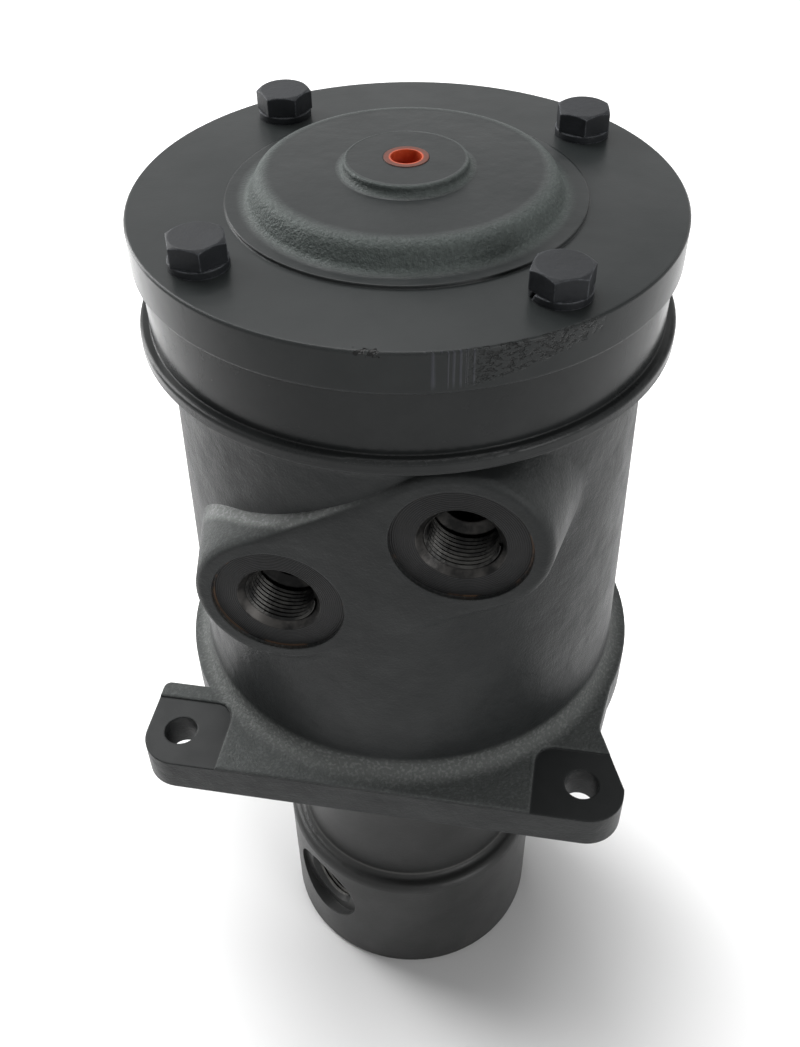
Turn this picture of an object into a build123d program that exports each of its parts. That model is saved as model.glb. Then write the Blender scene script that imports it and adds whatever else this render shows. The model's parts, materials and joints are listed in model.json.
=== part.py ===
from build123d import *
import os
from math import cos, radians, sin, tan

os.makedirs("parts", exist_ok=True)

# Hydraulic rotary union, a centre swivel joint with four ring channels and a drain.
# Millimetres. +Z is the swivel axis, the origin is the centre of the stem's flat foot, and the
# front, where ports A and B and the flange's ears are, looks along -Y.

# Fits
running_gap = 0.05  # radial, journal in the housing bore
float_gap = 0.3  # axial play at each thrust face
seat_gap = 0.05  # radial, rings and pins in their own seats
bolt_gap = 0.1  # radial, screws and bolts in their tapped holes

# Housing: heights
underside_z = 187.0  # flange underside above the stem's foot
housing_h = 197.0  # flange underside to the machined top
ear_t = 15.0  # flange at the machined ear pads
flange_t = 16.2  # flange as cast
top_z = underside_z + housing_h
flange_top_z = underside_z + flange_t

# Housing: turned and cast outside
top_flange_r = 87.5
top_flange_h = 23.0
lip_r = 91.0
lip_h = 6.0
lip_edge_r = 1.5
barrel_head_r = 82.4
barrel_foot_r = 85.7
flare_h = 8.0
root_h = 11.0
root_w = 6.2
flange_r = barrel_foot_r + 7.3
flange_edge_r = 1.0

# Flange ears
ear_x = flange_r - 14.0  # hole centres
ear_y = ear_x
ear_hole_r = 6.5
ear_corner_r = 14.0
ear_wall = 16.0  # hole centre to the flange's front side and the right ear's outer side
left_ear_wall = 13.5  # hole centre to the left ear's outer side
ear_shoulder = 22.5  # hole centre back to the left ear's shoulder
ear_waist = 27.0  # hole centre back to the right ear's waist
ear_taper = 10.5  # how far the right ear narrows by its waist
ear_blend_r = 6.0
pad_back = 15.0  # hole centre to the pad's back edge
pad_side = 18.5  # hole centre to the pad's inner edge
pad_corner_r = 8.0

# Bore, counterbores and seal grooves
bore_r = 50.0
counterbore_r = 60.0
bottom_counterbore_h = 12.0
top_counterbore_h = 16.0
bore_chamfer = 1.0
seal_w = 5.0
seal_r = 52.4
energiser_r = 56.5
groove_gap = 0.2
cover_ring_r = 62.5
cover_ring_w = 4.0
cover_ring_h = 2.6

# Ring channels, from the top down
channel_depth = 8.0
channel_h = 18.0
small_channel_h = 14.0
channel_b_z = underside_z + 136.7
channel_a_z = underside_z + 101.6
channel_c_z = underside_z + 67.0
channel_d_z = underside_z + 39.0
end_land = 8.0  # channel edge to the first and last seal

# Housing ports
boss_face_y = 83.8
boss_r = 28.6
small_boss_r = 21.0
boss_depth = 44.0
boss_draft = 12.0  # degrees
boss_edge_r = 3.0
port_a_x = -31.0
port_b_x = 30.3
port_c_x = -30.0
port_d_x = 32.0
spot_depth = 1.5
spot_r = 23.0
seat_r = 14.5
seat_chamfer = 3.0
thread_r = 12.1
thread_depth = 18.0
passage_r = 8.5
small_spot_r = 17.0
small_seat_r = 11.5
small_thread_r = 9.5
small_thread_depth = 15.0
small_passage_r = 6.5
drain_spot_r = 12.0
drain_seat_r = 8.0
drain_thread_r = 5.8
drain_thread_depth = 12.0

# Stem
head_r = 61.25
head_h = 72.0
head_round = 4.0
foot_chamfer = 2.0
neck_r = 54.0
neck_fillet = 3.0
journal_r = bore_r - running_gap
gallery_r = 6.5
gallery_pitch_r = 27.0
drain_r = 5.0
head_port_z = 44.0
head_port_spot_r = 20.0
head_port_floor_r = 56.0
drain_port_z = 34.0
drain_port_floor_r = 59.5
gallery_angle_a = -37.0
gallery_angle_b = -122.0
gallery_angle_c = -167.0
gallery_angle_d = -210.0
drain_port_angle = 119.0
plug_r = 8.0
plug_h = 12.0
plug_recess = 1.0
plug_key = 8.0
plug_key_depth = 6.0

# Thrust plate and its fastening, thrust washers, dust seal
plate_r = 57.0
plate_t = 8.0
plate_bore_r = 7.0
screw_pitch_r = 32.0
screw_count = 4
screw_r = 4.0
screw_hole_r = 4.5
screw_length = 25.0
screw_head_r = 6.5
screw_head_h = 8.0
screw_key = 6.0
pin_r = 3.0
pin_length = 16.0
upper_washer_t = 3.7
upper_washer_r = 58.5
washer_bore_gap = 0.6
lower_ring_t = 3.7
dust_seal_h = 7.0
dust_seal_mouth = 0.5
dust_lip = 2.0

# Cover
cover_r = 90.0
cover_t = 14.0
cover_edge = 0.6
pad_r = 58.25
pad_h = 1.0
dome_foot_r = 51.0
dome_r = 47.5
dome_h = 8.0
dome_round = 5.0
dome_foot_fillet = 2.0
boss_top_r = 20.0
boss_top_h = 3.2
boss_root_fillet = 1.8
boss_top_round = 1.2
hollow_r = 40.0
hollow_roof = 8.0
spigot_h = 3.0
cover_z = top_z + cover_t
cover_plug_r = 6.4
cover_port_r = 6.58
plug_flange_r = 7.2
plug_flange_t = 1.4
plug_seat_h = 1.2
plug_wall = 1.4
plug_depth = 9.0

# Cover bolts and spring washers
bolt_pitch_r = 75.0
bolt_count = 4
bolt_r = 5.0
bolt_hole_r = 5.5
bolt_length = 40.0
tapped_depth = 27.0
bolt_af = 17.0
bolt_head_h = 7.0
bolt_turns = (38.0, 8.0, 52.0, 20.0)
washer_r = 9.25
washer_t = 2.5
washer_split = 1.6
washer_turns = (200.0, 95.0, 250.0, 300.0)


def radial(angle):
    """Unit vector that looks out at this angle from the front, turning towards +X."""
    return Vector(sin(radians(angle)), -cos(radians(angle)), 0)


def radial_plane(angle, distance, height):
    """Plane at a distance from the axis that looks outward, with its own y up."""
    out = radial(angle)
    return Plane(origin=out * distance + Vector(0, 0, height), x_dir=out.cross(Vector(0, 0, -1)), z_dir=out)


def corner(sketch, x, y):
    """The sketch's vertex nearest to a point of its own plane."""
    return sketch.vertices().sort_by_distance((x, y))[0]


# Channels as level, height of channel
channels = (
    (channel_b_z, channel_h),
    (channel_a_z, channel_h),
    (channel_c_z, channel_h),
    (channel_d_z, small_channel_h),
)
galleries = (
    (gallery_angle_b, channel_b_z),
    (gallery_angle_a, channel_a_z),
    (gallery_angle_c, channel_c_z),
    (gallery_angle_d, channel_d_z),
)
# One seal above the first channel, one between each two, one below the last
seal_levels = [channels[0][0] + channels[0][1] / 2 + end_land]
for (upper_z, upper_h), (lower_z, lower_h) in zip(channels, channels[1:]):
    seal_levels.append((upper_z - upper_h / 2 + lower_z + lower_h / 2) / 2)
seal_levels.append(channels[-1][0] - channels[-1][1] / 2 - end_land)

front = Plane(origin=(0, -boss_face_y, 0), x_dir=(1, 0, 0), z_dir=(0, -1, 0))
rear = Plane(origin=(0, boss_face_y, 0), x_dir=(-1, 0, 0), z_dir=(0, 1, 0))
bolt_angles = [45 + 360 / bolt_count * i for i in range(bolt_count)]
boss_spread = boss_depth * tan(radians(boss_draft))


def bored_port(floor_r, mouth_r, tap_r, tap_depth, bore, reach):
    """Cutter for one port: its origin is the middle of the spotface and +Z looks out of it."""
    clear_h = 20.0
    chamfer_h = min(seat_chamfer, tap_depth / 2)
    drill_cone = (tap_r - bore) * tan(radians(30))
    with BuildPart() as cutter:
        with BuildSketch(Plane.XZ):
            with BuildLine():
                Polyline(
                    (0, clear_h),
                    (floor_r, clear_h),
                    (floor_r, 0),
                    (mouth_r, 0),
                    (tap_r, -chamfer_h),
                    (tap_r, -tap_depth),
                    (bore, -tap_depth - drill_cone),
                    (bore, -reach),
                    (0, -reach),
                    close=True,
                )
            make_face()
        revolve(axis=Axis.Z)
    return cutter.part


# Cutters for the ports: large, small and drain
floor_y = boss_face_y - spot_depth
housing_reach = floor_y - (bore_r - channel_depth) * 0.6
large_port = bored_port(spot_r, seat_r, thread_r, thread_depth, passage_r, housing_reach)
small_port = bored_port(small_spot_r, small_seat_r, small_thread_r, small_thread_depth, small_passage_r, housing_reach)
head_port = bored_port(
    head_port_spot_r, seat_r, thread_r, thread_depth, gallery_r, head_port_floor_r - gallery_pitch_r
)
drain_port = bored_port(
    drain_spot_r, drain_seat_r, drain_thread_r, drain_thread_depth, drain_r, drain_port_floor_r
)


# --- Housing casting: flange with two ears ---
with BuildPart() as flange_casting:
    side = ear_x + ear_wall
    left_side = ear_x + left_ear_wall
    front_y = ear_y + ear_wall
    with BuildSketch(Plane.XY.offset(underside_z)) as flange_outline:
        with BuildLine():
            Polyline(
                (0, -front_y),
                (-left_side, -front_y),
                (-left_side, -ear_y + ear_shoulder),
                (0, -ear_y + ear_shoulder),
                close=True,
            )
        make_face()
        with BuildLine():
            Polyline(
                (0, -front_y),
                (side, -front_y),
                (side, -ear_y),
                (side - ear_taper, -ear_y + ear_waist),
                (flange_r, 0),
                (0, 0),
                close=True,
            )
        make_face()
        for x in (-left_side, side):
            fillet(corner(flange_outline, x, -front_y), ear_corner_r)
        fillet(corner(flange_outline, -left_side, -ear_y + ear_shoulder), ear_blend_r / 2)
        Circle(flange_r)
        waist = corner(flange_outline, side - ear_taper, -ear_y + ear_waist)
        shoulder = corner(flange_outline, -left_side + left_ear_wall / 2, -ear_y + ear_shoulder)
        fillet([waist, shoulder], ear_blend_r)
    extrude(amount=flange_t)
    # Milled pads round the ear holes
    with BuildSketch(Plane.XY.offset(underside_z + ear_t)) as ear_pads:
        for way in (-1, 1):
            inner_x = way * (ear_x - pad_side)
            outer_x = way * (side + ear_wall)
            with BuildLine():
                Polyline(
                    (inner_x, -ear_y + pad_back),
                    (outer_x, -ear_y + pad_back),
                    (outer_x, -front_y - ear_wall),
                    (inner_x, -front_y - ear_wall),
                    close=True,
                )
            make_face()
            fillet(corner(ear_pads, inner_x, -ear_y + pad_back), pad_corner_r)
    extrude(amount=flange_t, mode=Mode.SUBTRACT)
    top_loop = flange_casting.faces().filter_by(Axis.Z).sort_by(Axis.Z)[-1].outer_wire().edges()
    fillet(top_loop, flange_edge_r)

# --- Housing casting: port bosses, an oblong one in front and two round ones behind ---
with BuildPart() as boss_casting:
    for face, x, z, r in (
        (front, port_a_x, channel_a_z, boss_r),
        (front, port_b_x, channel_b_z, boss_r),
        (rear, -port_c_x, channel_c_z, boss_r),
        (rear, -port_d_x, channel_d_z, small_boss_r),
    ):
        with BuildSketch(Plane.XZ) as boss_section:
            with BuildLine():
                Polyline((0, 0), (r, 0), (r + boss_spread, -boss_depth), (0, -boss_depth), close=True)
            make_face()
            fillet(corner(boss_section, r, 0), boss_edge_r)
        boss = revolve(axis=Axis.Z, mode=Mode.PRIVATE)
        with Locations(face.location * Location((x, z, 0))):
            add(boss)
    # The web that joins the two front bosses
    across = Vector(port_b_x - port_a_x, 0, channel_b_z - channel_a_z)
    web_end = Plane(
        origin=(port_a_x, -boss_face_y, channel_a_z), x_dir=across.cross(Vector(0, 1, 0)), z_dir=across
    )
    with BuildSketch(web_end) as web_section:
        with BuildLine():
            Polyline(
                (-boss_r, 0),
                (boss_r, 0),
                (boss_r + boss_spread, -boss_depth),
                (-boss_r - boss_spread, -boss_depth),
                close=True,
            )
        make_face()
        for way in (-1, 1):
            fillet(corner(web_section, way * boss_r, 0), boss_edge_r)
    extrude(amount=across.length)

# --- Housing ---
with BuildPart() as housing:
    lip_z = top_z - top_flange_h - lip_h
    with BuildSketch(Plane.XZ) as barrel_profile:
        with BuildLine():
            Polyline(
                (0, flange_top_z),
                (barrel_foot_r + root_w, flange_top_z),
            )
            Bezier(
                (barrel_foot_r + root_w, flange_top_z),
                (barrel_foot_r, flange_top_z),
                (barrel_foot_r, flange_top_z + root_h),
            )
            Line((barrel_foot_r, flange_top_z + root_h), (barrel_head_r, lip_z - flare_h))
            Bezier(
                (barrel_head_r, lip_z - flare_h),
                (barrel_head_r, lip_z - flare_h / 4),
                (lip_r - lip_edge_r, lip_z),
            )
            Polyline(
                (lip_r - lip_edge_r, lip_z),
                (lip_r, lip_z + lip_edge_r),
                (lip_r, lip_z + lip_h),
                (top_flange_r, lip_z + lip_h),
                (top_flange_r, top_z),
                (0, top_z),
                (0, flange_top_z),
            )
        make_face()
        fillet(corner(barrel_profile, lip_r, lip_z + lip_h), lip_edge_r)
    revolve(axis=Axis.Z)
    add(flange_casting.part)
    add(boss_casting.part)
    # Bore, counterbores and the seals' grooves
    with BuildSketch(Plane.XZ) as bore_profile:
        with Locations((bore_r / 2, underside_z + housing_h / 2)):
            Rectangle(bore_r, housing_h)
        with Locations((counterbore_r / 2, underside_z + bottom_counterbore_h / 2)):
            Rectangle(counterbore_r, bottom_counterbore_h)
        with Locations((counterbore_r / 2, top_z - top_counterbore_h / 2)):
            Rectangle(counterbore_r, top_counterbore_h)
        for level in seal_levels:
            with Locations(((energiser_r + seat_gap) / 2, level)):
                Rectangle(energiser_r + seat_gap, seal_w + 2 * groove_gap)
        with Locations((cover_ring_r + cover_ring_w / 2, top_z - cover_ring_h / 2)):
            Rectangle(cover_ring_w, cover_ring_h)
    revolve(axis=Axis.Z, mode=Mode.SUBTRACT)
    for z in (underside_z, top_z):
        mouth = housing.edges().filter_by(GeomType.CIRCLE).filter_by_position(Axis.Z, z, z)
        chamfer(mouth.filter_by(lambda edge: abs(edge.radius - counterbore_r) < seat_gap), bore_chamfer)
    # Ports
    for face, x, z, cutter in (
        (front, port_a_x, channel_a_z, large_port),
        (front, port_b_x, channel_b_z, large_port),
        (rear, -port_c_x, channel_c_z, large_port),
        (rear, -port_d_x, channel_d_z, small_port),
    ):
        with Locations(face.offset(-spot_depth).location * Location((x, z, 0))):
            add(cutter, mode=Mode.SUBTRACT)
    # Holes for the cover bolts and the mounting bolts
    with BuildSketch(Plane.XY.offset(top_z)):
        with PolarLocations(bolt_pitch_r, bolt_count, start_angle=bolt_angles[0]):
            Circle(bolt_r + bolt_gap)
    extrude(amount=-tapped_depth, mode=Mode.SUBTRACT)
    with BuildSketch(Plane.XY.offset(underside_z)):
        with Locations((-ear_x, -ear_y), (ear_x, -ear_y)):
            Circle(ear_hole_r)
    extrude(amount=flange_t, mode=Mode.SUBTRACT)
housing.part.label = "housing"
export_step(housing.part, "parts/housing.step")


# --- Top cover: disc, raised pad, cast dome and boss ---
with BuildPart() as top_cover:
    pad_z = cover_z + pad_h
    dome_z = pad_z + dome_h
    boss_z = dome_z + boss_top_h
    roof_z = dome_z - hollow_roof
    with BuildSketch(Plane.XZ) as cover_profile:
        with BuildLine():
            Polyline(
                (0, boss_z),
                (boss_top_r, boss_z),
                (boss_top_r, dome_z),
                (dome_r, dome_z),
                (dome_foot_r, pad_z),
                (pad_r, pad_z),
                (pad_r, cover_z),
                (cover_r, cover_z),
                (cover_r, top_z),
                (counterbore_r - running_gap, top_z),
                (counterbore_r - running_gap, top_z - spigot_h),
                (hollow_r, top_z - spigot_h),
                (hollow_r, roof_z),
                (0, roof_z),
                close=True,
            )
        make_face()
        fillet(corner(cover_profile, boss_top_r, boss_z), min(boss_top_round, boss_top_h / 3))
        fillet(corner(cover_profile, boss_top_r, dome_z), min(boss_root_fillet, boss_top_h * 0.6))
        fillet(corner(cover_profile, dome_r, dome_z), dome_round)
        fillet(corner(cover_profile, dome_foot_r, pad_z), dome_foot_fillet)
        fillet(corner(cover_profile, hollow_r, roof_z), dome_round)
        chamfer(corner(cover_profile, cover_r, cover_z), cover_edge)
        chamfer(corner(cover_profile, cover_r, top_z), cover_edge)
        chamfer(corner(cover_profile, counterbore_r - running_gap, top_z - spigot_h), cover_edge)
    revolve(axis=Axis.Z)
    with BuildSketch(Plane.XY.offset(boss_z)):
        Circle(cover_port_r)
    extrude(amount=roof_z - boss_z, mode=Mode.SUBTRACT)
    with BuildSketch(Plane.XY.offset(boss_z)):
        Circle(plug_flange_r + seat_gap)
    extrude(amount=-plug_seat_h, mode=Mode.SUBTRACT)
    with BuildSketch(Plane.XY.offset(cover_z)):
        with PolarLocations(bolt_pitch_r, bolt_count, start_angle=bolt_angles[0]):
            Circle(bolt_hole_r)
    extrude(amount=-cover_t, mode=Mode.SUBTRACT)
top_cover.part.label = "top_cover"
export_step(top_cover.part, "parts/top_cover.step")

# --- Plastic plug in the cover's tapped hole: a flanged cup, open upwards ---
with BuildPart() as cover_plug:
    plug_floor_z = boss_z - plug_seat_h
    with BuildSketch(Plane.XY.offset(plug_floor_z)):
        Circle(plug_flange_r)
    extrude(amount=plug_flange_t)
    with BuildSketch(Plane.XY.offset(plug_floor_z)):
        Circle(cover_plug_r)
    extrude(amount=-plug_depth)
    with BuildSketch(Plane.XY.offset(plug_floor_z + plug_flange_t)):
        Circle(cover_plug_r - plug_wall)
    extrude(amount=plug_wall - plug_depth - plug_flange_t, mode=Mode.SUBTRACT)
    chamfer(cover_plug.faces().sort_by(Axis.Z)[0].edges(), plug_wall / 2)
cover_plug.part.label = "cover_plug"
export_step(cover_plug.part, "parts/cover_plug.step")

# --- Cover bolts: hexagon heads, each turned as it was tightened ---
with BuildPart() as cover_bolts:
    head_z = cover_z + washer_t
    corner_r = bolt_af / 2 / cos(radians(30))
    crown_r = corner_r * 1.1
    for angle, turn in zip(bolt_angles, bolt_turns):
        x = bolt_pitch_r * cos(radians(angle))
        y = bolt_pitch_r * sin(radians(angle))
        with BuildSketch(Plane.XY.offset(head_z)):
            with Locations((x, y)):
                RegularPolygon(corner_r, 6, rotation=turn)
        extrude(amount=bolt_head_h)
        with BuildSketch(Plane.XY.offset(head_z)):
            with Locations((x, y)):
                Circle(bolt_r)
        extrude(amount=-bolt_length)
    # The chamfered crown cuts the corners of every head
    with BuildSketch(Plane.XZ) as crown_profile:
        with BuildLine():
            Polyline(
                (bolt_af / 2 * 0.96, head_z + bolt_head_h),
                (crown_r, head_z + bolt_head_h),
                (crown_r, head_z + bolt_head_h - (crown_r - bolt_af / 2 * 0.96) * tan(radians(30))),
                close=True,
            )
        make_face()
    crown = revolve(axis=Axis.Z, mode=Mode.PRIVATE)
    with PolarLocations(bolt_pitch_r, bolt_count, start_angle=bolt_angles[0]):
        add(crown, mode=Mode.SUBTRACT)
cover_bolts.part.label = "cover_bolts"
export_step(cover_bolts.part, "parts/cover_bolts.step")

# --- Split spring washers under the bolt heads ---
with BuildPart() as spring_washers:
    for angle, turn in zip(bolt_angles, washer_turns):
        x = bolt_pitch_r * cos(radians(angle))
        y = bolt_pitch_r * sin(radians(angle))
        with BuildSketch(Plane.XY.offset(cover_z)):
            with Locations((x, y)):
                Circle(washer_r)
                Circle(bolt_r + seat_gap * 4, mode=Mode.SUBTRACT)
        extrude(amount=washer_t)
        # The slanted split
        cut_face = Plane(origin=(x, y, cover_z), x_dir=radial(turn + 90), z_dir=radial(turn))
        with BuildSketch(cut_face):
            with BuildLine():
                Polyline(
                    (-washer_split, 0),
                    (0, 0),
                    (washer_split, washer_t),
                    (0, washer_t),
                    close=True,
                )
            make_face()
        extrude(amount=washer_r * 1.1, mode=Mode.SUBTRACT)
spring_washers.part.label = "spring_washers"
export_step(spring_washers.part, "parts/spring_washers.step")

# --- O-ring between the housing and the cover ---
with BuildPart() as cover_o_ring:
    with BuildSketch(Plane.XZ):
        with Locations((cover_ring_r + cover_ring_w / 2, top_z - cover_ring_h / 2)):
            RectangleRounded(cover_ring_w - 2 * groove_gap, cover_ring_h, cover_ring_h * 0.4)
    revolve(axis=Axis.Z)
cover_o_ring.part.label = "cover_o_ring"
export_step(cover_o_ring.part, "parts/cover_o_ring.step")

# --- Slipper seals, each with a rubber ring behind it ---
for i, level in enumerate(seal_levels, start=1):
    with BuildPart() as slipper_seal:
        with BuildSketch(Plane.XZ.offset(0)):
            with Locations(((bore_r + seal_r) / 2, level)):
                Rectangle(seal_r - bore_r, seal_w)
        revolve(axis=Axis.Z)
    slipper_seal.part.label = f"slipper_seal_{i}"
    export_step(slipper_seal.part, f"parts/slipper_seal_{i}.step")

    with BuildPart() as seal_energiser:
        with BuildSketch(Plane.XZ):
            with Locations(((seal_r + energiser_r) / 2, level)):
                RectangleRounded(energiser_r - seal_r, seal_w, (energiser_r - seal_r) * 0.35)
        revolve(axis=Axis.Z)
    seal_energiser.part.label = f"seal_energiser_{i}"
    export_step(seal_energiser.part, f"parts/seal_energiser_{i}.step")

# --- Thrust washers and dust seal ---
counterbore_floor_z = top_z - top_counterbore_h
stem_top_z = counterbore_floor_z + upper_washer_t + float_gap
with BuildPart() as upper_thrust_washer:
    with BuildSketch(Plane.XY.offset(counterbore_floor_z)):
        Circle(upper_washer_r)
        Circle(bore_r + washer_bore_gap, mode=Mode.SUBTRACT)
    extrude(amount=upper_washer_t)
upper_thrust_washer.part.label = "upper_thrust_washer"
export_step(upper_thrust_washer.part, "parts/upper_thrust_washer.step")

ring_top_z = underside_z + bottom_counterbore_h
neck_top_z = ring_top_z - lower_ring_t - float_gap
with BuildPart() as lower_thrust_ring:
    with BuildSketch(Plane.XY.offset(ring_top_z)):
        Circle(counterbore_r - seat_gap)
        Circle(bore_r + washer_bore_gap, mode=Mode.SUBTRACT)
    extrude(amount=-lower_ring_t)
lower_thrust_ring.part.label = "lower_thrust_ring"
export_step(lower_thrust_ring.part, "parts/lower_thrust_ring.step")

with BuildPart() as dust_seal:
    seal_foot_z = underside_z + dust_seal_mouth
    lip_r_in = neck_r + running_gap
    with BuildSketch(Plane.XZ):
        with BuildLine():
            Polyline(
                (lip_r_in, seal_foot_z),
                (lip_r_in + dust_lip, seal_foot_z + dust_lip / 2),
                (counterbore_r - dust_lip, seal_foot_z + dust_lip / 2),
                (counterbore_r - seat_gap, seal_foot_z + dust_lip),
                (counterbore_r - seat_gap, seal_foot_z + dust_seal_h),
                (lip_r_in + dust_lip, seal_foot_z + dust_seal_h),
                (lip_r_in, seal_foot_z + dust_lip),
                close=True,
            )
        make_face()
    revolve(axis=Axis.Z)
dust_seal.part.label = "dust_seal"
export_step(dust_seal.part, "parts/dust_seal.step")


# --- Stem: head with ports, neck, and journal with the ring channels ---
with BuildPart() as stem:
    with BuildSketch(Plane.XZ) as stem_profile:
        with BuildLine():
            Polyline(
                (0, 0),
                (head_r, 0),
                (head_r, head_h),
                (neck_r, head_h),
                (neck_r, neck_top_z),
                (journal_r, neck_top_z),
                (journal_r, stem_top_z),
                (0, stem_top_z),
                close=True,
            )
        make_face()
        chamfer(corner(stem_profile, head_r, 0), foot_chamfer)
        fillet(corner(stem_profile, head_r, head_h), head_round)
        fillet(corner(stem_profile, neck_r, head_h), neck_fillet)
        chamfer(corner(stem_profile, journal_r, stem_top_z), foot_chamfer)
        chamfer(corner(stem_profile, neck_r, neck_top_z), bore_chamfer)
        for level, height in channels:
            with Locations((journal_r, level)):
                Rectangle(2 * channel_depth, height, mode=Mode.SUBTRACT)
    revolve(axis=Axis.Z)
    # Galleries up from the foot, each with a cross hole into its channel and one from its port
    for angle, level in galleries:
        at = radial(angle) * gallery_pitch_r
        with BuildSketch(Plane.XY):
            with Locations((at.X, at.Y)):
                Circle(gallery_r)
        extrude(amount=level + gallery_r, mode=Mode.SUBTRACT)
        with BuildSketch(Plane.XY):
            with Locations((at.X, at.Y)):
                Circle(plug_r + seat_gap)
        extrude(amount=plug_recess + plug_h, mode=Mode.SUBTRACT)
        with BuildSketch(radial_plane(angle, gallery_pitch_r, level)):
            Circle(gallery_r - 0.5)
        extrude(amount=journal_r - gallery_pitch_r, mode=Mode.SUBTRACT)
        with Locations(radial_plane(angle, head_port_floor_r, head_port_z).location):
            add(head_port, mode=Mode.SUBTRACT)
    # Central drain from the stem's top to its own port
    with BuildSketch(Plane.XY.offset(stem_top_z)):
        Circle(drain_r)
    extrude(amount=drain_port_z - stem_top_z, mode=Mode.SUBTRACT)
    with Locations(radial_plane(drain_port_angle, drain_port_floor_r, drain_port_z).location):
        add(drain_port, mode=Mode.SUBTRACT)
    # Tapped holes and dowel hole for the thrust plate
    with BuildSketch(Plane.XY.offset(stem_top_z)):
        with PolarLocations(screw_pitch_r, screw_count):
            Circle(screw_r + bolt_gap)
    extrude(amount=-screw_length, mode=Mode.SUBTRACT)
    with BuildSketch(Plane.XY.offset(stem_top_z)):
        with PolarLocations(screw_pitch_r, 1, start_angle=45):
            Circle(pin_r + seat_gap)
    extrude(amount=-pin_length / 2, mode=Mode.SUBTRACT)
stem.part.label = "stem"
export_step(stem.part, "parts/stem.step")

# --- Steel plugs that close the galleries at the foot ---
with BuildPart() as gallery_plugs:
    for angle, level in galleries:
        at = radial(angle) * gallery_pitch_r
        with BuildSketch(Plane.XY.offset(plug_recess)):
            with Locations((at.X, at.Y)):
                Circle(plug_r)
        extrude(amount=plug_h)
        with BuildSketch(Plane.XY.offset(plug_recess)):
            with Locations((at.X, at.Y)):
                RegularPolygon(plug_key / 2, 6, major_radius=False)
        extrude(amount=plug_key_depth, mode=Mode.SUBTRACT)
gallery_plugs.part.label = "gallery_plugs"
export_step(gallery_plugs.part, "parts/gallery_plugs.step")

# --- Thrust plate, its screws and dowel ---
with BuildPart() as thrust_plate:
    with BuildSketch(Plane.XY.offset(stem_top_z)):
        Circle(plate_r)
        Circle(plate_bore_r, mode=Mode.SUBTRACT)
        with PolarLocations(screw_pitch_r, screw_count):
            Circle(screw_hole_r, mode=Mode.SUBTRACT)
        with PolarLocations(screw_pitch_r, 1, start_angle=45):
            Circle(pin_r + seat_gap, mode=Mode.SUBTRACT)
    extrude(amount=plate_t)
    chamfer(thrust_plate.faces().sort_by(Axis.Z)[-1].outer_wire().edges(), bore_chamfer)
thrust_plate.part.label = "thrust_plate"
export_step(thrust_plate.part, "parts/thrust_plate.step")

with BuildPart() as thrust_plate_screws:
    plate_top_z = stem_top_z + plate_t
    with BuildSketch(Plane.XY.offset(plate_top_z)):
        with PolarLocations(screw_pitch_r, screw_count):
            Circle(screw_head_r)
    extrude(amount=screw_head_h)
    with BuildSketch(Plane.XY.offset(plate_top_z)):
        with PolarLocations(screw_pitch_r, screw_count):
            Circle(screw_r)
    extrude(amount=-screw_length)
    with BuildSketch(Plane.XY.offset(plate_top_z + screw_head_h)):
        with PolarLocations(screw_pitch_r, screw_count):
            RegularPolygon(screw_key / 2, 6, major_radius=False)
    extrude(amount=-screw_head_h / 2, mode=Mode.SUBTRACT)
thrust_plate_screws.part.label = "thrust_plate_screws"
export_step(thrust_plate_screws.part, "parts/thrust_plate_screws.step")

with BuildPart() as thrust_plate_pin:
    with BuildSketch(Plane.XY.offset(stem_top_z - pin_length / 2)):
        with PolarLocations(screw_pitch_r, 1, start_angle=45):
            Circle(pin_r)
    extrude(amount=pin_length)
thrust_plate_pin.part.label = "thrust_plate_pin"
export_step(thrust_plate_pin.part, "parts/thrust_plate_pin.step")
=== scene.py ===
import json
from math import cos, degrees, pi, radians, sin

import bmesh
import bpy
from mathutils import Matrix, Vector


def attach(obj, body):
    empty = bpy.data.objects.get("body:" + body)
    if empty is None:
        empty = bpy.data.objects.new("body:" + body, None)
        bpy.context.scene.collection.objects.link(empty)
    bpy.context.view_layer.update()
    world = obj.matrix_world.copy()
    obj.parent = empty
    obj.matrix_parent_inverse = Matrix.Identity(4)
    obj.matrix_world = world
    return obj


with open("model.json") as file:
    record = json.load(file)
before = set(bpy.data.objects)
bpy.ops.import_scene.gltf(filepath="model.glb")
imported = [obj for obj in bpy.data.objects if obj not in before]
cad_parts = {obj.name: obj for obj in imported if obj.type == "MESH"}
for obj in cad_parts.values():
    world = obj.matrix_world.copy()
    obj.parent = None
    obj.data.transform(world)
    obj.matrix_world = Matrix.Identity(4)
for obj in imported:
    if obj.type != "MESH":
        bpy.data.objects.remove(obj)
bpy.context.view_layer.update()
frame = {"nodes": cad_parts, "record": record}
nodes = frame["nodes"]

# --- Camera ---
# It stands in front of the union and a little to the right, and looks down on the cover.
camera_turn = radians(10.26)
camera_drop = radians(42.91)
camera_roll = radians(-0.87)
camera_distance = 0.4681
camera_aim = Vector((-0.00365, -0.00066, 0.25303))
look = Vector(
    (-sin(camera_turn) * cos(camera_drop), cos(camera_turn) * cos(camera_drop), -sin(camera_drop))
)
camera = bpy.data.objects.new("camera", bpy.data.cameras.new("camera"))
camera.data.lens = 39.52
camera.data.sensor_width = 36.0
camera.data.clip_start = 0.01
camera.rotation_mode = "QUATERNION"
camera.rotation_quaternion = (
    look.to_track_quat("-Z", "Y") @ Matrix.Rotation(camera_roll, 4, "Z").to_quaternion()
)
camera.location = camera_aim - look * camera_distance
bpy.context.scene.collection.objects.link(camera)
bpy.context.scene.camera = camera
bpy.context.scene.view_settings.view_transform = "Standard"


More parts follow.
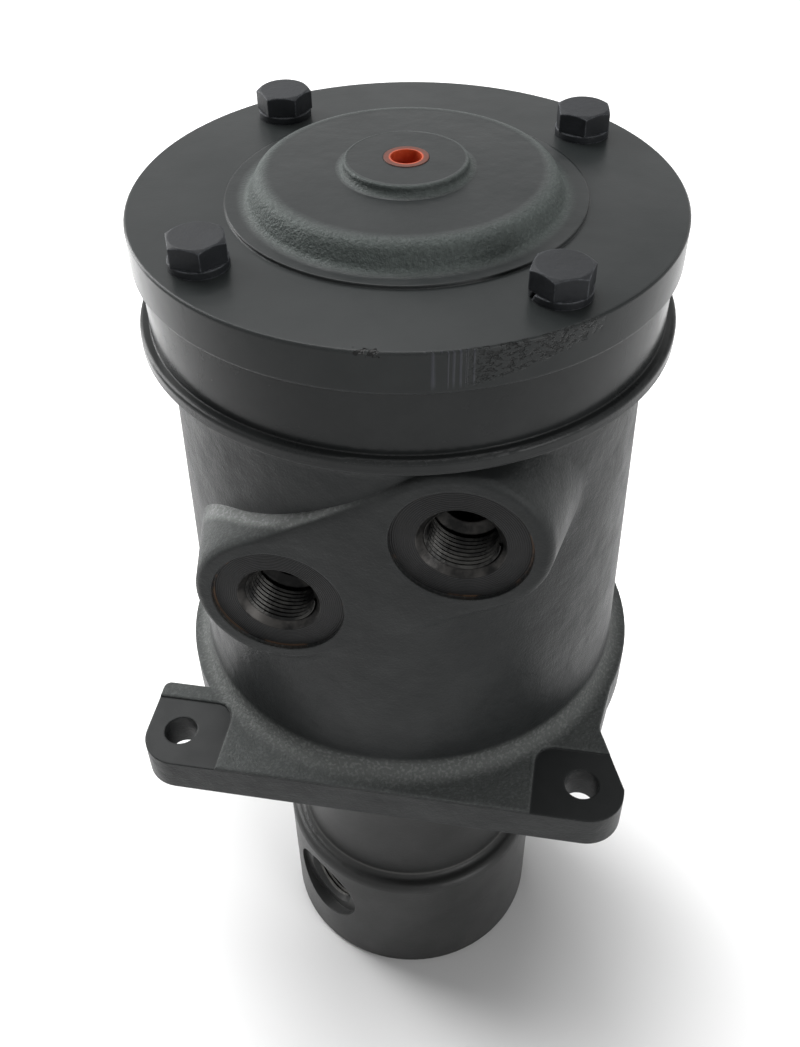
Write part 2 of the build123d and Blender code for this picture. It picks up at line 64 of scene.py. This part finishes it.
# --- Studio: pale floor, pale surroundings and soft lamps ---
# A sheet of matt white card to stand on, a white room that gloss and the lens both see, and five
# softboxes. The class below wires every finish: arithmetic on an output adds Math nodes.
class Wire:
    """An output of a material's nodes."""

    def __init__(self, tree, socket):
        self.tree = tree
        self.socket = socket

    def node(self, kind, settings=(), links=(), output=0):
        """Adds any node: its settings first, then its inputs by name or number."""
        made = self.tree.nodes.new(kind)
        for name, value in dict(settings).items():
            setattr(made, name, value)
        for name, value in dict(links).items():
            if isinstance(value, Wire):
                self.tree.links.new(value.socket, made.inputs[name])
            else:
                made.inputs[name].default_value = value
        return Wire(self.tree, made.outputs[output])

    def maths(self, operation, *others):
        return self.node("ShaderNodeMath", {"operation": operation}, dict(enumerate((self,) + others)))

    def __add__(self, other):
        return self.maths("ADD", other)

    def __radd__(self, other):
        return self.maths("ADD", other)

    def __sub__(self, other):
        return self.maths("SUBTRACT", other)

    def __rsub__(self, other):
        return self.node("ShaderNodeMath", {"operation": "SUBTRACT"}, {0: other, 1: self})

    def __mul__(self, other):
        return self.maths("MULTIPLY", other)

    def __pow__(self, other):
        return self.maths("POWER", other)

    def rise(self, low, high):
        """0 below low, 1 above high, smooth between them."""
        return self.node(
            "ShaderNodeMapRange",
            {"interpolation_type": "SMOOTHSTEP"},
            {"Value": self, "From Min": low, "From Max": high},
        )

    def band(self, low, high, soft=0.0002):
        """1 between low and high."""
        return self.rise(low - soft, low + soft) * (1 - self.rise(high - soft, high + soft))

    def noise(self, scale, detail=4.0, rough=0.5, stretch=(1, 1, 1)):
        """Noise over coordinates, which are multiplied along each axis where asked."""
        at = self
        if stretch != (1, 1, 1):
            at = self.node("ShaderNodeMapping", {}, {"Vector": self, "Scale": stretch})
        links = {"Vector": at, "Scale": scale, "Detail": detail, "Roughness": rough}
        return self.node("ShaderNodeTexNoise", {}, links)

    def colour(self, low, high):
        """Mixes two colours or colour wires by this value: low at 0, high at 1."""
        return self.node("ShaderNodeMix", {"data_type": "RGBA"}, {"Factor": self, 6: low, 7: high}, 2)

    def axis(self, which):
        """One of the coordinates: 0, 1 or 2."""
        return self.node("ShaderNodeSeparateXYZ", {}, {0: self}, which)

    def from_axis(self):
        """Distance from the swivel axis."""
        x, y = self.axis(0), self.axis(1)
        return (x * x + y * y) ** 0.5

    def tool_rings(self, close):
        """The ridges that a turning tool leaves across a distance, from 0 to 1."""
        return (self * close).maths("SINE") * 0.5 + 0.5

    def relief(self, distance, normal=None):
        """A bump whose height is this value times a distance in metres."""
        links = {"Height": self, "Strength": 1.0, "Distance": distance}
        if normal:
            links["Normal"] = normal
        return self.node("ShaderNodeBump", {}, links)

    def rounded(self, radius):
        """The surface's normal with its corners rounded off, outside and inside."""
        return self.node("ShaderNodeBevel", {"samples": 6}, {"Radius": radius})

    def true_face(self):
        """The normal of the modelled face itself."""
        return self.node("ShaderNodeNewGeometry", {}, {}, 3)

    def worn(self, radius):
        """How far a rounded corner turns from the true face: 0 on flats, more along edges."""
        both = {0: self.rounded(radius), 1: self.true_face()}
        return 1 - self.node("ShaderNodeVectorMath", {"operation": "DOT_PRODUCT"}, both, 1)

    def white_rays(self):
        """1 for the rays of the lens, of gloss and of glass, and 0 for light that falls on things."""
        lens, gloss, through = (self.node("ShaderNodeLightPath", {}, {}, ray) for ray in (0, 3, 6))
        return lens.maths("MAXIMUM", gloss).maths("MAXIMUM", through)


def finish(name, **uniform):
    """A new material: returns it, its object coordinates, and a function that feeds its shader."""
    material = bpy.data.materials.new(name)
    material.use_nodes = True
    tree = material.node_tree
    shader = tree.nodes["Principled BSDF"]
    for socket, value in uniform.items():
        shader.inputs[socket.replace("_", " ")].default_value = value
    place = Wire(tree, tree.nodes.new("ShaderNodeTexCoord").outputs["Object"])

    def feed(**links):
        for socket, wire in links.items():
            tree.links.new(wire.socket, shader.inputs[socket.replace("_", " ")])

    return material, place, feed


def wear(material, *names):
    """Puts a finish on CAD nodes."""
    for name in names:
        nodes[name].data.materials.clear()
        nodes[name].data.materials.append(material)


def lamp(name, place, aim, size, power):
    """A rectangular softbox, turned to what it lights."""
    light = bpy.data.lights.new(name, "AREA")
    light.shape = "RECTANGLE"
    light.size, light.size_y = size
    light.energy = power
    made = bpy.data.objects.new(name, light)
    made.location = place
    made.rotation_mode = "QUATERNION"
    made.rotation_quaternion = (Vector(aim) - Vector(place)).to_track_quat("-Z", "Y")
    bpy.context.scene.collection.objects.link(made)


floor_reach = 6.0
floor_mesh = bpy.data.meshes.new("floor")
floor_form = bmesh.new()
bmesh.ops.create_grid(floor_form, x_segments=1, y_segments=1, size=floor_reach)
floor_form.to_mesh(floor_mesh)
floor_form.free()
floor = bpy.data.objects.new("floor", floor_mesh)
bpy.context.scene.collection.objects.link(floor)
pale = (0.84, 0.84, 0.84, 1)
card, place, feed = finish(
    "white_card", Base_Color=pale, Roughness=0.9, Specular_IOR_Level=0.1, Emission_Strength=1.0
)
away = place.from_axis()
near_white = 0.66
# The card's glow fades out towards the swivel axis. This is painted shade round the foot, and it deepens the
# object's shadow there.
glow_with_shade_round_foot = away.rise(0.06, 0.27) * near_white + away.rise(0.40, 2.00) * (1 - near_white)
feed(Emission_Color=(place.white_rays() * glow_with_shade_round_foot).colour((0, 0, 0, 1), (1, 1, 1, 1)))
floor_mesh.materials.append(card)

world = bpy.data.worlds.new("white_room")
bpy.context.scene.world = world
world.use_nodes = True
room_fill = 0.16
room_light = Wire(world.node_tree, None).white_rays().maths("MAXIMUM", room_fill)
room = world.node_tree.nodes["Background"]
room.inputs["Color"].default_value = (1, 1, 1, 1)
world.node_tree.links.new(room_light.socket, room.inputs["Strength"])

mid_height = (0, 0, 0.25)
square = (0.6, 0.6)
lamp("back_softbox", (-0.31, 0.53, 1.40), mid_height, square, 8)
lamp("top_softbox", (0.0, 0.0, 1.55), mid_height, square, 5)
lamp("left_softbox", (-0.93, 0.43, 1.05), mid_height, square, 10)
lamp("left_strip", (-1.15, 0.50, 0.50), mid_height, (0.4, 0.8), 7)
lamp("right_softbox", (0.94, -0.75, 0.62), mid_height, square, 5.5)


# --- Stem ---
# Turned from a steel bar, with the ports and galleries drilled in. The head and neck are painted charcoal
# after assembly; the journal stays bare and bright where the seals run.
neck_radius = 0.0540
neck_foot = 0.0750
paint_top = 0.1892
steel = (0.50, 0.49, 0.47, 1)
stem_finish, place, feed = finish("stem_paint_and_steel", Specular_IOR_Level=0.22)
height, out = place.axis(2), place.from_axis()
foot = 1 - height.rise(0.0008, 0.0014)
journal = height.rise(paint_top - 0.0002, paint_top + 0.0002)

# Inside the head the overspray covers two thirds of the bored steel.
drilled = (1 - out.rise(neck_radius - 0.0005, neck_radius + 0.0005)) * (1 - foot)
drilled = drilled * (1 - height.rise(neck_foot - 0.0010, neck_foot + 0.0005))
bare = journal.maths("MAXIMUM", drilled * 0.35)

turned = place.noise(1.0, 5, 0.7, (90, 90, 2600))
mottle = place.noise(34, 5, 0.6).rise(0.3, 0.7)
dust = place.noise(900, 3, 0.6).rise(0.5, 0.72)
edge = place.worn(0.0006).rise(0.03, 0.16)
paint = mottle.colour((0.0225, 0.0230, 0.0227, 1), (0.0330, 0.0335, 0.0332, 1))
paint = (edge * dust * 0.8).colour(paint, (0.16, 0.165, 0.165, 1))
grain = turned * (0.35 + journal * 0.3) + dust * 0.25 * (1 - journal)
feed(
    Base_Color=bare.colour(paint, steel),
    Metallic=bare,
    Roughness=0.36 - mottle * 0.05 - journal * 0.10 + turned * 0.06,
    Normal=grain.relief(0.00012, place.rounded(0.0006)),
)
wear(stem_finish, "stem")

# The internal threads of the ports: a cut ridge that winds in from the chamfer, of oily bare metal. Those
# of the stem's four ports and drain are here, painted lighter than the housing's, which come with its
# casting.
# Each takes its place, bore and length from the mount that states its port.
mounts = {mount["name"]: mount for mount in frame["record"]["mounts"]}
bore_steel, place, feed = finish("thread_steel", Metallic=0.85)
grime = place.noise(160, 4, 0.6).rise(0.35, 0.7)
# In the stem's head the threads are painted lighter. This is a painted highlight for the light they catch.
lit_in_head = 1 - place.axis(2).rise(0.10, 0.12)
feed(
    Base_Color=((grime + lit_in_head) * 0.5).colour((0.009, 0.009, 0.009, 1), (0.100, 0.098, 0.092, 1)),
    Roughness=0.30 + grime * 0.2,
    Normal=place.noise(900, 3, 0.5).relief(0.00006),
)
seat_chamfer = 0.0030
thread_rise = 0.0006
sunk_in_wall = 0.0001
clear_of_end = 0.0002
coarse_pitch = 0.001814
fine_pitch = 0.001337


def cut_thread(name, body, port, pitch):
    """Threads the bore of a port from its chamfer inwards. A mount stands halfway along its thread."""
    bore = port["dims"]["r_mm"] / 1000
    length = port["dims"]["length_mm"] / 1000
    out_way = Vector(port["axis"])
    mouth = Vector(port["pos_m"]) + out_way * (seat_chamfer + length / 2)
    deep = seat_chamfer + length - clear_of_end
    root = bore + sunk_in_wall
    flank = bore - thread_rise * 0.1
    crest = bore - thread_rise
    ridge = ((root, 0), (flank, 0.06), (crest, 0.42), (crest, 0.54), (flank, 0.90), (root, 0.96))
    form = bmesh.new()
    corners = [form.verts.new((radius, 0, pitch * share)) for radius, share in ridge]
    face = form.faces.new(corners)
    turns = int((deep - pitch) / pitch)
    steps = 40
    bmesh.ops.spin(
        form,
        geom=[face] + list(face.edges) + corners,
        cent=(0, 0, 0),
        axis=(0, 0, 1),
        dvec=(0, 0, pitch / steps),
        angle=2 * pi * turns,
        steps=steps * turns,
        use_merge=False,
        use_normal_flip=False,
        use_duplicate=False,
    )
    bmesh.ops.holes_fill(form, edges=[edge for edge in form.edges if edge.is_boundary], sides=8)
    bmesh.ops.recalc_face_normals(form, faces=form.faces)
    turn = out_way.to_track_quat("Z", "Y").to_matrix().to_4x4()
    form.transform(Matrix.Translation(mouth) @ turn @ Matrix.Translation((0, 0, -deep)))
    mesh = bpy.data.meshes.new(name)
    form.to_mesh(mesh)
    form.free()
    for polygon in mesh.polygons:
        polygon.use_smooth = False
    mesh.materials.append(bore_steel)
    piece = bpy.data.objects.new(name, mesh)
    bpy.context.scene.collection.objects.link(piece)
    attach(piece, body)


for mark in "abcd":
    cut_thread("stem_thread_" + mark, "stem", mounts["stem_port_" + mark], coarse_pitch)
cut_thread("stem_thread_drain", "stem", mounts["stem_drain_port"], fine_pitch)

# --- Gallery plugs ---
# Hexagon-socket steel plugs, zinc plated and passivated, screwed into the foot to close the drilled
# galleries.
zinc, place, feed = finish("zinc_plate", Metallic=0.9)
film = place.noise(70, 4, 0.6).rise(0.3, 0.7)
feed(
    Base_Color=film.colour((0.40, 0.38, 0.33, 1), (0.52, 0.52, 0.50, 1)),
    Roughness=0.34 + film * 0.14,
    Normal=place.noise(700, 3, 0.6).relief(0.00008, place.rounded(0.0004)),
)
wear(zinc, "gallery_plugs")

# --- Housing casting ---
# Grey iron, sand cast and painted charcoal. The top flange, ear pads and underside are milled and painted,
# the spotfaces and port bores are cut afterwards and left oily, and the rest keeps the sand's grain.
boss_face = 0.0838
boss_root = 0.0398
boss_radius = 0.0286
spotface_radius, small_spotface_radius = 0.0230, 0.0170
seat_radius = 0.0145
counterbore_radius = 0.0600
barrel_foot_radius = 0.0857
underside = mounts["flange_underside"]["pos_m"][2]
ear_pad_top = 0.2020
flange_top = 0.2032
lip_foot, lip_top = 0.3550, 0.3610
iron_finish, place, feed = finish("casting_paint", Specular_IOR_Level=0.14)
x, y, height, out = place.axis(0), place.axis(1), place.axis(2), place.from_axis()
from_middle = y.maths("ABSOLUTE")
faces_up = place.true_face().axis(2)


def from_port(mark):
    """Distance from the axis of a port that looks to the front or the rear."""
    centre = mounts["port_" + mark]["pos_m"]
    across = x - centre[0]
    above = height - centre[2]
    return (across * across + above * above) ** 0.5


# Where each kind of face is. The fourth port is the small one, so its distances are scaled to the others'.
ahead = 1 - y.rise(-boss_root - 0.0002, -boss_root + 0.0008)
behind = y.rise(boss_root - 0.0008, boss_root + 0.0002)
nearest_front = from_port("a").maths("MINIMUM", from_port("b"))
small_port = from_port("d") * (spotface_radius / small_spotface_radius)
nearest_rear = from_port("c").maths("MINIMUM", small_port)
nearest = nearest_front * ahead + nearest_rear * behind + (1 - ahead.maths("MAXIMUM", behind))
recessed = 1 - from_middle.rise(boss_face - 0.0004, boss_face - 0.0001)
spotface = (1 - nearest.rise(spotface_radius - 0.00015, spotface_radius + 0.0001)) * recessed
mouth = (1 - nearest.rise(seat_radius - 0.0001, seat_radius + 0.0002)) * recessed
inside = 1 - out.rise(counterbore_radius + 0.0002, counterbore_radius + 0.0006)
bare = inside.maths("MAXIMUM", mouth)
milled = height.rise(lip_top - 0.0006, lip_top + 0.0002)
milled = milled.maths("MAXIMUM", height.band(ear_pad_top - 0.0002, ear_pad_top + 0.00015, 0.0001))
milled = milled.maths("MAXIMUM", 1 - height.rise(underside + 0.0001, underside + 0.0004))
at_flange = 1 - height.rise(0.3000, 0.3100)
cast = (1 - milled) * (1 - spotface) * (1 - inside)
cast = cast * (1 - height.rise(lip_foot - 0.0050, lip_foot + 0.0010) * 0.8)

# The casting's upward faces are painted lighter: partly dust and overspray, partly a painted highlight of
# the light from above. The shoulder between the left boss and the lip is palest, mostly as a painted
# highlight. None is where the right boss runs smoothly up into the barrel, which stays dark as painted shade
# under the lip. A line runs along the barrel's foot, partly a painted highlight.
# On the right boss's top the upward faces keep the dark paint. This is painted shade under the lip's
# overhang.
lip_shade_on_right_boss = x.rise(-0.0160, 0.0040) * height.band(0.3000, 0.3560, 0.004) * ahead
below_lip = 1 - height.rise(lip_foot - 0.0070, lip_foot - 0.0020)
sandy_and_lit = faces_up.rise(0.12, 0.60) * cast * below_lip * (1 - lip_shade_on_right_boss * 0.8)
shoulder = height.band(0.2900, 0.3500, 0.004) * (1 - out.rise(0.0860, 0.0885)) * (1 - lip_shade_on_right_boss)
lit_ledge = faces_up.rise(0.15, 0.60) * shoulder
# Along the barrel's foot is a pale line: dust, and a painted highlight on the upward fillet.
barrel_root_dust_and_highlight = out.band(barrel_foot_radius - 0.0012, barrel_foot_radius + 0.0058, 0.0025)
barrel_root_dust_and_highlight = barrel_root_dust_and_highlight * height.band(flange_top - 0.0002, flange_top + 0.0068, 0.002)

sand = place.noise(1150, 3, 0.62)
lumps = place.noise(230, 3, 0.5)
swell = place.noise(55, 2, 0.5)
mottle = place.noise(36, 5, 0.6).rise(0.32, 0.68)
speck = place.noise(820, 2, 0.5).rise(0.48, 0.66)
oil = place.noise(120, 4, 0.6).rise(0.35, 0.65)
edge = place.worn(0.0009).rise(0.04, 0.20)
paint = mottle.colour((0.0165, 0.0180, 0.0182, 1), (0.0240, 0.0258, 0.0260, 1))
# Upward faces are painted paler: dust, and a painted highlight where the light falls on them.
paint = (sandy_and_lit * (0.70 + speck * 0.30)).colour(paint, (0.088, 0.094, 0.092, 1))
# The left boss's shoulder is painted much paler still, as a painted highlight.
paint = (sandy_and_lit * lit_ledge * (0.60 + speck * 0.40)).colour(paint, (0.300, 0.312, 0.304, 1))
paint = (edge * (0.25 + speck * 0.4) * (1 - bare)).colour(paint, (0.070, 0.074, 0.074, 1))
paint = (barrel_root_dust_and_highlight * cast * (0.45 + speck * 0.40)).colour(paint, (0.190, 0.198, 0.192, 1))
paint = (milled * at_flange * 0.28).colour(paint, (0.009, 0.0095, 0.0100, 1))

# The cut faces: oily black, with a broken ring of rust where each spotface meets its wall.
cut_face = oil.colour((0.0050, 0.0052, 0.0055, 1), (0.0100, 0.0102, 0.0105, 1))
rust = nearest.band(spotface_radius - 0.0009, spotface_radius - 0.0001, 0.0003)
rust = rust * place.noise(70, 3, 0.6).rise(0.50, 0.60)
cut_face = (rust * 0.8).colour(cut_face, (0.090, 0.052, 0.030, 1))
raw_iron = oil.colour((0.012, 0.012, 0.012, 1), (0.045, 0.043, 0.041, 1))
cutter_marks = nearest.tool_rings(9000) * spotface * (1 - mouth)

# Edges are rounded a little all over, and broadly where the bosses grow out of the barrel.
beside_boss = nearest.rise(boss_radius - 0.0021, boss_radius - 0.0001)
soft_root = beside_boss * height.band(0.2150, 0.3440, 0.003) * from_middle.rise(0.02, 0.03)
corners = {"Factor": soft_root, 4: place.rounded(0.0009), 5: place.rounded(0.0075)}
corner_normal = place.node("ShaderNodeMix", {"data_type": "VECTOR"}, corners, 1)
roughness = 0.41 + sandy_and_lit * 0.18 - mottle * 0.05 - bare * 0.04 + oil * 0.05
feed(
    Base_Color=bare.colour(spotface.colour(paint, cut_face), raw_iron),
    Metallic=bare * 0.85,
    Roughness=roughness - height.rise(lip_foot + 0.0010, lip_foot + 0.0030) * 0.17,
    Normal=(
        sand * (cast * 0.35 + sandy_and_lit + 0.03)
        + lumps * (cast * 0.55 + sandy_and_lit * 0.7)
        + swell * cast * 1.6
        + cutter_marks * 0.22
    ).relief(0.00042, corner_normal),
)
wear(iron_finish, "housing")

for mark in "abcd":
    cut_thread("port_thread_" + mark, "housing", mounts["port_" + mark], coarse_pitch)

# --- Slipper seals ---
# Rings of brown filled PTFE, turned from tube, that run on the journal, and the nitrile rings behind them
# that press them inwards. The dust seal and the cover's O-ring are moulded of the same nitrile.
seal_numbers = range(1, 6)
ptfe, place, feed = finish("filled_ptfe", Specular_IOR_Level=0.4)
fill = place.noise(1400, 3, 0.6).rise(0.42, 0.62)
feed(
    Base_Color=fill.colour((0.13, 0.075, 0.04, 1), (0.20, 0.13, 0.075, 1)),
    Roughness=0.42 + fill * 0.1,
    Normal=place.noise(1.0, 4, 0.6, (80, 80, 3000)).relief(0.00004),
)
wear(ptfe, *("slipper_seal_%d" % number for number in seal_numbers))
rubber, place, feed = finish("nitrile_rubber", Specular_IOR_Level=0.3)
bloom = place.noise(60, 4, 0.6).rise(0.4, 0.7)
feed(
    Base_Color=bloom.colour((0.010, 0.010, 0.011, 1), (0.022, 0.022, 0.023, 1)),
    Roughness=0.55 + bloom * 0.15,
    Normal=place.noise(1500, 2, 0.5).relief(0.00003),
)
wear(rubber, "dust_seal", "cover_o_ring", *("seal_energiser_%d" % number for number in seal_numbers))

# --- Thrust washers ---
# Plain cast bronze rings, faced on the lathe. The upper one carries the thrust plate and the lower one
# stops the stem's shoulder.
bronze, place, feed = finish("thrust_bronze", Metallic=1.0)
stain = place.noise(45, 4, 0.6).rise(0.35, 0.7)
feed(
    Base_Color=stain.colour((0.42, 0.25, 0.11, 1), (0.60, 0.40, 0.19, 1)),
    Roughness=0.30 + stain * 0.15,
    Normal=place.from_axis().tool_rings(14000).relief(0.00001, place.rounded(0.0003)),
)
wear(bronze, "upper_thrust_washer", "lower_thrust_ring")

# --- Thrust plate ---
# A faced steel disc screwed and dowelled to the stem's top, with black socket screws of which only the
# heads stand clear.
plate_steel, place, feed = finish("faced_steel", Metallic=1.0)
film = place.noise(50, 4, 0.6).rise(0.35, 0.7)
feed(
    Base_Color=film.colour((0.42, 0.41, 0.40, 1), (0.56, 0.55, 0.54, 1)),
    Roughness=0.28 + film * 0.12,
    Normal=place.from_axis().tool_rings(12000).relief(0.00001, place.rounded(0.0004)),
)
wear(plate_steel, "thrust_plate", "thrust_plate_pin")
black_oxide, place, feed = finish("black_oxide", Metallic=0.7)
rub = place.worn(0.0004).rise(0.03, 0.2)
feed(
    Base_Color=rub.colour((0.035, 0.035, 0.037, 1), (0.16, 0.16, 0.16, 1)),
    Roughness=0.42 - rub * 0.08,
    Normal=place.noise(1200, 3, 0.5).relief(0.00004, place.rounded(0.0004)),
)
wear(black_oxide, "thrust_plate_screws")

# --- Top cover ---
# An iron casting with a turned rim and face, whose domed middle keeps its cast skin. Painted charcoal. The
# rim has been knocked at the front, scored beside that and pitted further round.
cover_radius = 0.0900
cover_foot, cover_top = 0.3840, 0.3980
cover_pad_radius = 0.0582
centre_boss_radius = 0.0200
cover_finish, place, feed = finish("cover_paint", Specular_IOR_Level=0.16)
x, y, height, out = place.axis(0), place.axis(1), place.axis(2), place.from_axis()
rim = out.rise(cover_radius - 0.0007, cover_radius - 0.0004)
rim = rim * height.rise(cover_foot + 0.0002, cover_foot + 0.0006)
turned = out.rise(cover_pad_radius - 0.0002, cover_pad_radius + 0.0002)

# The cast skin shows sandy on the dome's slope, and a little round the root of the centre boss. It is
# painted pale there, partly its own colour and partly a painted highlight of the light on the slope.
skirt_skin_and_highlight = out.rise(0.0425, 0.0480) * (1 - out.rise(0.0505, 0.0550))
skirt_skin_and_highlight = skirt_skin_and_highlight * height.rise(cover_top - 0.0005, cover_top + 0.0015)
boss_skin = out.band(centre_boss_radius - 0.0010, centre_boss_radius + 0.0022, 0.0006)
skirt_skin_and_highlight = skirt_skin_and_highlight.maths("MAXIMUM", boss_skin * height.rise(0.4068, 0.4072) * 0.7)
sand = place.noise(1050, 3, 0.62)
lumps = place.noise(260, 3, 0.5)
swell = place.noise(48, 2, 0.5)
mottle = place.noise(28, 5, 0.6).rise(0.32, 0.68)
speck = place.noise(760, 2, 0.5).rise(0.46, 0.66)

# The rim's damage, placed by degrees round from the front towards the right.
round_by = x.maths("ARCTAN2", y * -1) * degrees(1)
ragged = place.noise(420, 3, 0.6).rise(0.50, 0.56)
chip = round_by.band(-1.2, 4.8, 0.25) * height.rise(cover_top - 0.0018, cover_top - 0.0010)
chip = chip * ragged * out.rise(cover_radius - 0.0020, cover_radius - 0.0014)
scratches = place.noise(1.0, 2, 0.4, (950, 950, 12)).rise(0.50, 0.64)
scores = round_by.band(12.6, 21.5, 0.8) * rim * scratches * height.rise(0.3850, 0.3885)
craters = 1 - place.noise(1.0, 3, 0.6, (520, 520, 900)).rise(0.39, 0.52)
pitted_from = round_by * 0.00028 + 0.3806
pits = round_by.band(21.5, 45.0, 3.0) * rim * craters * (height - pitted_from).rise(-0.0012, 0.0012)

edge = place.worn(0.0007).rise(0.03, 0.18)
paint = mottle.colour((0.0150, 0.0175, 0.0177, 1), (0.0225, 0.0250, 0.0252, 1))
# The slope's skin is painted pale: partly cast skin, partly painted highlight.
paint = (skirt_skin_and_highlight * (0.72 + speck * 0.28)).colour(paint, (0.084, 0.098, 0.093, 1))
# Edges are painted lighter: rubbed paint, and also a painted highlight along the rim's top edge.
paint = (edge * (0.35 + speck * 0.4)).colour(paint, (0.085, 0.090, 0.090, 1))
paint = (scores * 0.7).colour(paint, (0.055, 0.058, 0.070, 1))
paint = (pits * 0.7).colour(paint, (0.006, 0.0065, 0.0065, 1))
paint = (chip * 0.9).colour(paint, (0.008, 0.008, 0.008, 1))
feed(
    Base_Color=paint,
    Roughness=0.33 + skirt_skin_and_highlight * 0.22 - mottle * 0.04 + pits * 0.2 - rim * 0.09,
    Normal=(
        sand * (skirt_skin_and_highlight * 1.5 + 0.05)
        + lumps * (skirt_skin_and_highlight * 0.7 + (1 - turned) * 0.25)
        + swell * (0.5 + (1 - turned) * 0.7)
        - pits * 1.4
        - chip * 2.5
        + scores * 0.5
    ).relief(0.00042, place.rounded(0.0009)),
)
wear(cover_finish, "top_cover")

# --- Cover bolts ---
# Forged M10 hexagon bolts over split spring washers, painted with the cover, the paint rubbed thin on the
# corners and the heads' edges, which are painted lighter and bluish, partly as a painted highlight.
bolt_finish, place, feed = finish("bolt_paint", Specular_IOR_Level=0.16)
scale = place.noise(480, 4, 0.6)
mottle = place.noise(90, 4, 0.6).rise(0.32, 0.68)
edge = place.worn(0.0008).rise(0.015, 0.12)
rub = place.noise(700, 2, 0.5).rise(0.40, 0.62)
paint = mottle.colour((0.0120, 0.0132, 0.0150, 1), (0.0190, 0.0205, 0.0230, 1))
# The rubbed edges are painted pale blue-grey: wear, and also a painted highlight on the heads' edges.
paint = (edge * (0.45 + rub * 0.55)).colour(paint, (0.125, 0.132, 0.145, 1))
feed(
    Base_Color=paint,
    Roughness=0.48 + mottle * 0.08,
    Normal=(scale + mottle * 0.5).relief(0.00016, place.rounded(0.0010)),
)
wear(bolt_finish, "cover_bolts", "spring_washers")

# --- Plug in the cover ---
# A soft orange-red polyethylene cap, moulded, pressed into the tapped hole to keep dirt out on the way.
plug_finish, place, feed = finish("plug_plastic", Specular_IOR_Level=0.25)
down_in = 1 - place.axis(2).rise(0.4000, 0.4095)
lip = place.from_axis().rise(0.0050, 0.0058)
scuff = place.noise(500, 3, 0.6).rise(0.4, 0.65)
orange = scuff.colour((0.52, 0.075, 0.025, 1), (0.60, 0.10, 0.04, 1))
# Down inside the cap the orange turns dark red. This is painted shade in the hollow.
shaded = down_in.colour(orange, (0.20, 0.012, 0.008, 1))
feed(
    Base_Color=lip.colour(shaded, (0.105, 0.026, 0.014, 1)),
    Roughness=0.38 + scuff * 0.12,
    Normal=place.noise(420, 3, 0.5).relief(0.00008, place.rounded(0.0004)),
)
wear(plug_finish, "cover_plug")
